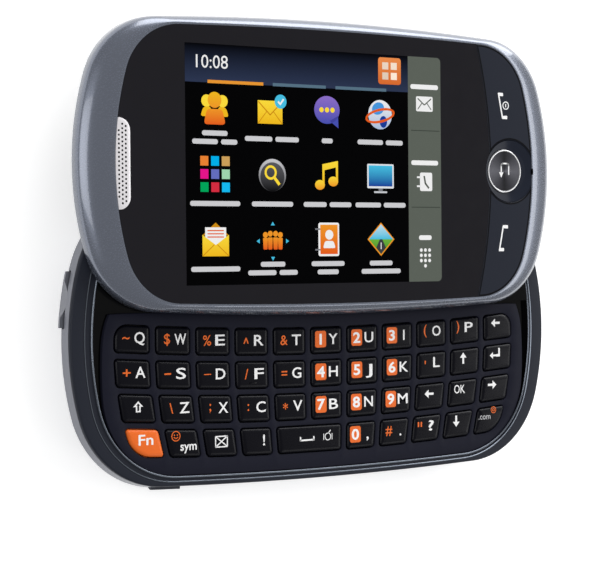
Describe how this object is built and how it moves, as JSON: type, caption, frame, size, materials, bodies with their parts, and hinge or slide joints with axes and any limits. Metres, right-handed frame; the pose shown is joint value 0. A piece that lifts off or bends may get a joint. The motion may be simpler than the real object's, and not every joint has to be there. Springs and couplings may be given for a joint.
{
  "type": "side-sliding phone with keyboard",
  "caption": "Side-sliding phone: a touch screen slides up from a base with a bowed four-row letter keyboard; round back key, call and end keys, volume rocker.",
  "frame": {"origin": "centre of the base's flat back face, on which the phone lies", "axes": "+X along the long side, to the right as the keyboard is read; +Y the way the screen slides open; +Z out of the screen"},
  "size_m": [0.1082, 0.0853, 0.0138],
  "materials": {
    "silver_shell": "satin silver paint",
    "slate_band": "satin",
    "keypad_panel": "matte",
    "back_cover": "soft matte",
    "battery_wrap": "satin",
    "circuit_board": "satin",
    "silver_keys": "satin silver paint",
    "guide_steel": "brushed",
    "slate_metallic": "satin metallic paint",
    "underside": "matte",
    "window_black": "gloss",
    "display": "gloss",
    "grille_silver": "satin",
    "front_key_black": "gloss",
    "round_key": "spun metal look",
    "key_black": "satin",
    "key_orange": "satin"
  },
  "bodies": {
    "base": {"base_housing": "silver_shell", "deck_band": "slate_band", "keypad_panel": "keypad_panel", "battery_cover": "back_cover", "battery": "battery_wrap", "main_board": "circuit_board", "slide_guide": "guide_steel"},
    "slider": {"slider_frame": "slate_metallic", "slider_back": "underside", "touch_window": "window_black", "display_module": "display", "earpiece_grille": "grille_silver"},
    "volume_rocker": {"volume_rocker": "silver_keys"},
    "side_key": {"side_key": "silver_keys"},
    "end_key": {"end_key": "front_key_black"},
    "call_key": {"call_key": "front_key_black"},
    "back_key": {"back_key": "round_key"},
    "key_q": {"key_q": "key_black"},
    "key_w": {"key_w": "key_black"},
    "key_e": {"key_e": "key_black"},
    "key_r": {"key_r": "key_black"},
    "key_t": {"key_t": "key_black"},
    "key_y": {"key_y": "key_black"},
    "key_u": {"key_u": "key_black"},
    "key_i": {"key_i": "key_black"},
    "key_o": {"key_o": "key_black"},
    "key_p": {"key_p": "key_black"},
    "key_backspace": {"key_backspace": "key_black"},
    "key_a": {"key_a": "key_black"},
    "key_s": {"key_s": "key_black"},
    "key_d": {"key_d": "key_black"},
    "key_f": {"key_f": "key_black"},
    "key_g": {"key_g": "key_black"},
    "key_h": {"key_h": "key_black"},
    "key_j": {"key_j": "key_black"},
    "key_k": {"key_k": "key_black"},
    "key_l": {"key_l": "key_black"},
    "key_up": {"key_up": "key_black"},
    "key_enter": {"key_enter": "key_black"},
    "key_shift": {"key_shift": "key_black"},
    "key_z": {"key_z": "key_black"},
    "key_x": {"key_x": "key_black"},
    "key_c": {"key_c": "key_black"},
    "key_v": {"key_v": "key_black"},
    "key_b": {"key_b": "key_black"},
    "key_n": {"key_n": "key_black"},
    "key_m": {"key_m": "key_black"},
    "key_left": {"key_left": "key_black"},
    "key_ok": {"key_ok": "key_black"},
    "key_right": {"key_right": "key_black"},
    "key_fn": {"key_fn": "key_orange"},
    "key_sym": {"key_sym": "key_black"},
    "key_mail": {"key_mail": "key_black"},
    "key_exclamation": {"key_exclamation": "key_black"},
    "key_space": {"key_space": "key_black"},
    "key_comma": {"key_comma": "key_black"},
    "key_period": {"key_period": "key_black"},
    "key_quote": {"key_quote": "key_black"},
    "key_down": {"key_down": "key_black"},
    "key_at": {"key_at": "key_black"}
  },
  "joints": [
    {"name": "slider_slide", "type": "slide", "parent": "base", "child": "slider", "axis": [0, 1, 0], "range_m": [-0.031, 0]},
    {"name": "press_key_q", "type": "slide", "parent": "base", "child": "key_q", "axis": [0, 0, -1], "range_m": [0, 0.0003], "stiffness_N_per_m": 400, "springref_m": -0.0003},
    {"name": "press_key_w", "type": "slide", "parent": "base", "child": "key_w", "axis": [0, 0, -1], "range_m": [0, 0.0003], "stiffness_N_per_m": 400, "springref_m": -0.0003},
    {"name": "press_key_e", "type": "slide", "parent": "base", "child": "key_e", "axis": [0, 0, -1], "range_m": [0, 0.0003], "stiffness_N_per_m": 400, "springref_m": -0.0003},
    {"name": "press_key_r", "type": "slide", "parent": "base", "child": "key_r", "axis": [0, 0, -1], "range_m": [0, 0.0003], "stiffness_N_per_m": 400, "springref_m": -0.0003},
    {"name": "press_key_t", "type": "slide", "parent": "base", "child": "key_t", "axis": [0, 0, -1], "range_m": [0, 0.0003], "stiffness_N_per_m": 400, "springref_m": -0.0003},
    {"name": "press_key_y", "type": "slide", "parent": "base", "child": "key_y", "axis": [0, 0, -1], "range_m": [0, 0.0003], "stiffness_N_per_m": 400, "springref_m": -0.0003},
    {"name": "press_key_u", "type": "slide", "parent": "base", "child": "key_u", "axis": [0, 0, -1], "range_m": [0, 0.0003], "stiffness_N_per_m": 400, "springref_m": -0.0003},
    {"name": "press_key_i", "type": "slide", "parent": "base", "child": "key_i", "axis": [0, 0, -1], "range_m": [0, 0.0003], "stiffness_N_per_m": 400, "springref_m": -0.0003},
    {"name": "press_key_o", "type": "slide", "parent": "base", "child": "key_o", "axis": [0, 0, -1], "range_m": [0, 0.0003], "stiffness_N_per_m": 400, "springref_m": -0.0003},
    {"name": "press_key_p", "type": "slide", "parent": "base", "child": "key_p", "axis": [0, 0, -1], "range_m": [0, 0.0003], "stiffness_N_per_m": 400, "springref_m": -0.0003},
    {"name": "press_key_backspace", "type": "slide", "parent": "base", "child": "key_backspace", "axis": [0, 0, -1], "range_m": [0, 0.0003], "stiffness_N_per_m": 400, "springref_m": -0.0003},
    {"name": "press_key_a", "type": "slide", "parent": "base", "child": "key_a", "axis": [0, 0, -1], "range_m": [0, 0.0003], "stiffness_N_per_m": 400, "springref_m": -0.0003},
    {"name": "press_key_s", "type": "slide", "parent": "base", "child": "key_s", "axis": [0, 0, -1], "range_m": [0, 0.0003], "stiffness_N_per_m": 400, "springref_m": -0.0003},
    {"name": "press_key_d", "type": "slide", "parent": "base", "child": "key_d", "axis": [0, 0, -1], "range_m": [0, 0.0003], "stiffness_N_per_m": 400, "springref_m": -0.0003},
    {"name": "press_key_f", "type": "slide", "parent": "base", "child": "key_f", "axis": [0, 0, -1], "range_m": [0, 0.0003], "stiffness_N_per_m": 400, "springref_m": -0.0003},
    {"name": "press_key_g", "type": "slide", "parent": "base", "child": "key_g", "axis": [0, 0, -1], "range_m": [0, 0.0003], "stiffness_N_per_m": 400, "springref_m": -0.0003},
    {"name": "press_key_h", "type": "slide", "parent": "base", "child": "key_h", "axis": [0, 0, -1], "range_m": [0, 0.0003], "stiffness_N_per_m": 400, "springref_m": -0.0003},
    {"name": "press_key_j", "type": "slide", "parent": "base", "child": "key_j", "axis": [0, 0, -1], "range_m": [0, 0.0003], "stiffness_N_per_m": 400, "springref_m": -0.0003},
    {"name": "press_key_k", "type": "slide", "parent": "base", "child": "key_k", "axis": [0, 0, -1], "range_m": [0, 0.0003], "stiffness_N_per_m": 400, "springref_m": -0.0003},
    {"name": "press_key_l", "type": "slide", "parent": "base", "child": "key_l", "axis": [0, 0, -1], "range_m": [0, 0.0003], "stiffness_N_per_m": 400, "springref_m": -0.0003},
    {"name": "press_key_up", "type": "slide", "parent": "base", "child": "key_up", "axis": [0, 0, -1], "range_m": [0, 0.0003], "stiffness_N_per_m": 400, "springref_m": -0.0003},
    {"name": "press_key_enter", "type": "slide", "parent": "base", "child": "key_enter", "axis": [0, 0, -1], "range_m": [0, 0.0003], "stiffness_N_per_m": 400, "springref_m": -0.0003},
    {"name": "press_key_shift", "type": "slide", "parent": "base", "child": "key_shift", "axis": [0, 0, -1], "range_m": [0, 0.0003], "stiffness_N_per_m": 400, "springref_m": -0.0003},
    {"name": "press_key_z", "type": "slide", "parent": "base", "child": "key_z", "axis": [0, 0, -1], "range_m": [0, 0.0003], "stiffness_N_per_m": 400, "springref_m": -0.0003},
    {"name": "press_key_x", "type": "slide", "parent": "base", "child": "key_x", "axis": [0, 0, -1], "range_m": [0, 0.0003], "stiffness_N_per_m": 400, "springref_m": -0.0003},
    {"name": "press_key_c", "type": "slide", "parent": "base", "child": "key_c", "axis": [0, 0, -1], "range_m": [0, 0.0003], "stiffness_N_per_m": 400, "springref_m": -0.0003},
    {"name": "press_key_v", "type": "slide", "parent": "base", "child": "key_v", "axis": [0, 0, -1], "range_m": [0, 0.0003], "stiffness_N_per_m": 400, "springref_m": -0.0003},
    {"name": "press_key_b", "type": "slide", "parent": "base", "child": "key_b", "axis": [0, 0, -1], "range_m": [0, 0.0003], "stiffness_N_per_m": 400, "springref_m": -0.0003},
    {"name": "press_key_n", "type": "slide", "parent": "base", "child": "key_n", "axis": [0, 0, -1], "range_m": [0, 0.0003], "stiffness_N_per_m": 400, "springref_m": -0.0003},
    {"name": "press_key_m", "type": "slide", "parent": "base", "child": "key_m", "axis": [0, 0, -1], "range_m": [0, 0.0003], "stiffness_N_per_m": 400, "springref_m": -0.0003},
    {"name": "press_key_left", "type": "slide", "parent": "base", "child": "key_left", "axis": [0, 0, -1], "range_m": [0, 0.0003], "stiffness_N_per_m": 400, "springref_m": -0.0003},
    {"name": "press_key_ok", "type": "slide", "parent": "base", "child": "key_ok", "axis": [0, 0, -1], "range_m": [0, 0.0003], "stiffness_N_per_m": 400, "springref_m": -0.0003},
    {"name": "press_key_right", "type": "slide", "parent": "base", "child": "key_right", "axis": [0, 0, -1], "range_m": [0, 0.0003], "stiffness_N_per_m": 400, "springref_m": -0.0003},
    {"name": "press_key_fn", "type": "slide", "parent": "base", "child": "key_fn", "axis": [0, 0, -1], "range_m": [0, 0.0003], "stiffness_N_per_m": 400, "springref_m": -0.0003},
    {"name": "press_key_sym", "type": "slide", "parent": "base", "child": "key_sym", "axis": [0, 0, -1], "range_m": [0, 0.0003], "stiffness_N_per_m": 400, "springref_m": -0.0003},
    {"name": "press_key_mail", "type": "slide", "parent": "base", "child": "key_mail", "axis": [0, 0, -1], "range_m": [0, 0.0003], "stiffness_N_per_m": 400, "springref_m": -0.0003},
    {"name": "press_key_exclamation", "type": "slide", "parent": "base", "child": "key_exclamation", "axis": [0, 0, -1], "range_m": [0, 0.0003], "stiffness_N_per_m": 400, "springref_m": -0.0003},
    {"name": "press_key_space", "type": "slide", "parent": "base", "child": "key_space", "axis": [0, 0, -1], "range_m": [0, 0.0003], "stiffness_N_per_m": 400, "springref_m": -0.0003},
    {"name": "press_key_comma", "type": "slide", "parent": "base", "child": "key_comma", "axis": [0, 0, -1], "range_m": [0, 0.0003], "stiffness_N_per_m": 400, "springref_m": -0.0003},
    {"name": "press_key_period", "type": "slide", "parent": "base", "child": "key_period", "axis": [0, 0, -1], "range_m": [0, 0.0003], "stiffness_N_per_m": 400, "springref_m": -0.0003},
    {"name": "press_key_quote", "type": "slide", "parent": "base", "child": "key_quote", "axis": [0, 0, -1], "range_m": [0, 0.0003], "stiffness_N_per_m": 400, "springref_m": -0.0003},
    {"name": "press_key_down", "type": "slide", "parent": "base", "child": "key_down", "axis": [0, 0, -1], "range_m": [0, 0.0003], "stiffness_N_per_m": 400, "springref_m": -0.0003},
    {"name": "press_key_at", "type": "slide", "parent": "base", "child": "key_at", "axis": [0, 0, -1], "range_m": [0, 0.0003], "stiffness_N_per_m": 400, "springref_m": -0.0003},
    {"name": "press_end_key", "type": "slide", "parent": "slider", "child": "end_key", "axis": [0, 0, -1], "range_m": [0, 0.00025], "stiffness_N_per_m": 400, "springref_m": -0.0003},
    {"name": "press_call_key", "type": "slide", "parent": "slider", "child": "call_key", "axis": [0, 0, -1], "range_m": [0, 0.00025], "stiffness_N_per_m": 400, "springref_m": -0.0003},
    {"name": "press_back_key", "type": "slide", "parent": "slider", "child": "back_key", "axis": [0, 0, -1], "range_m": [0, 0.00025], "stiffness_N_per_m": 400, "springref_m": -0.0003},
    {"name": "press_side_key", "type": "slide", "parent": "base", "child": "side_key", "axis": [0, 1, 0], "range_m": [0, 0.0003], "stiffness_N_per_m": 400, "springref_m": -0.0003},
    {"name": "rock_volume", "type": "hinge", "parent": "base", "child": "volume_rocker", "pos_m": [-0.051, 0.00745, 0.0053], "axis": [0, 0, 1], "range_deg": [-2.5, 2.5], "stiffness_Nm_per_rad": 0.08}
  ]
}
